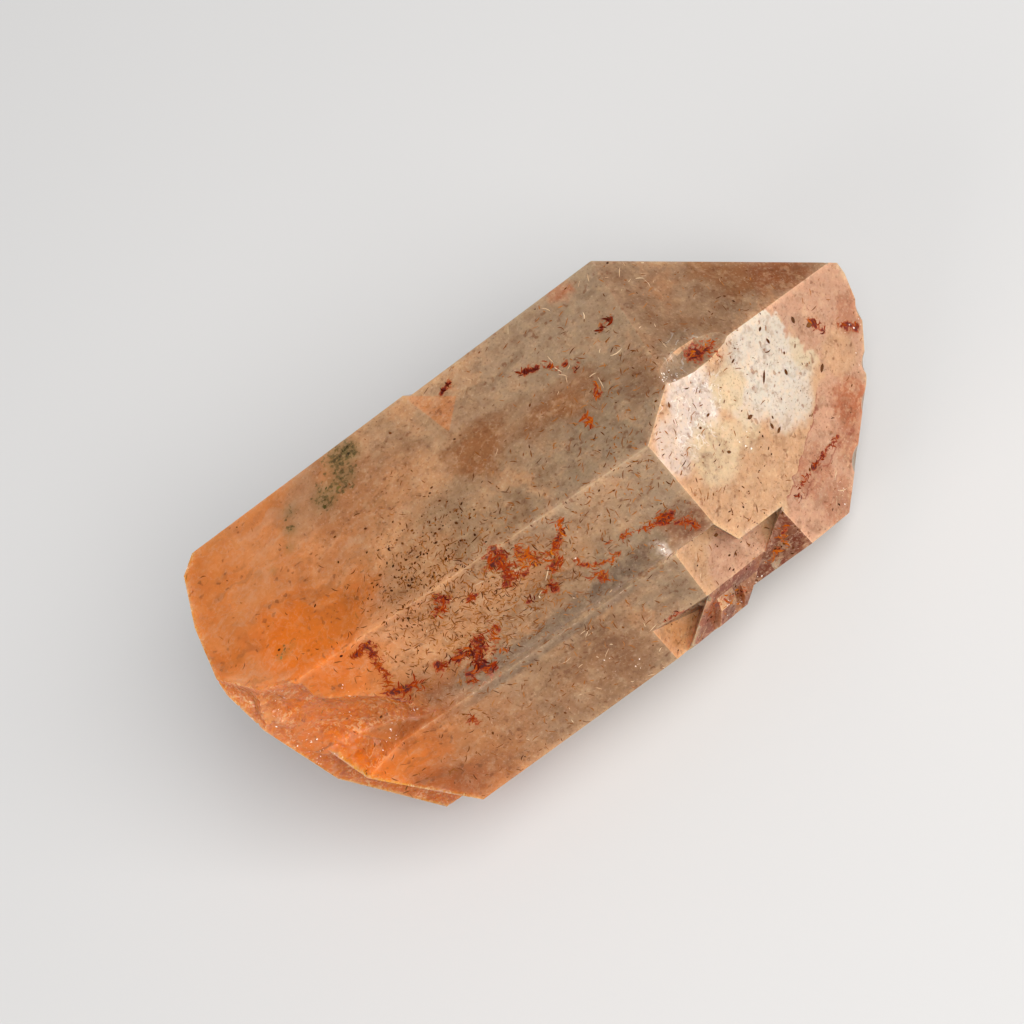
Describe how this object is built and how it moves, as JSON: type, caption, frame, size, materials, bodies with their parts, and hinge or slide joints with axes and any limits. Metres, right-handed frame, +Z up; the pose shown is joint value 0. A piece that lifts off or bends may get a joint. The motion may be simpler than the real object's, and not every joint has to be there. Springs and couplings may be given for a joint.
{
  "type": "tangerine quartz crystal point",
  "caption": "Natural quartz crystal point stained tangerine, a stout six-sided prism with a faceted tip and a broken root, lying on one prism face.",
  "frame": {"origin": "middle of the footprint's box, on the surface that the crystal lies on", "axes": "+X along the crystal's long axis, towards the tip; +Z up; -Y towards the side with the raised strip"},
  "size_m": [0.079, 0.045, 0.0353],
  "materials": {
    "tangerine_quartz": "satin natural crystal faces, cloudy inside, orange iron stain"
  },
  "bodies": {
    "root": {"quartz_point": "tangerine_quartz"}
  },
  "joints": []
}
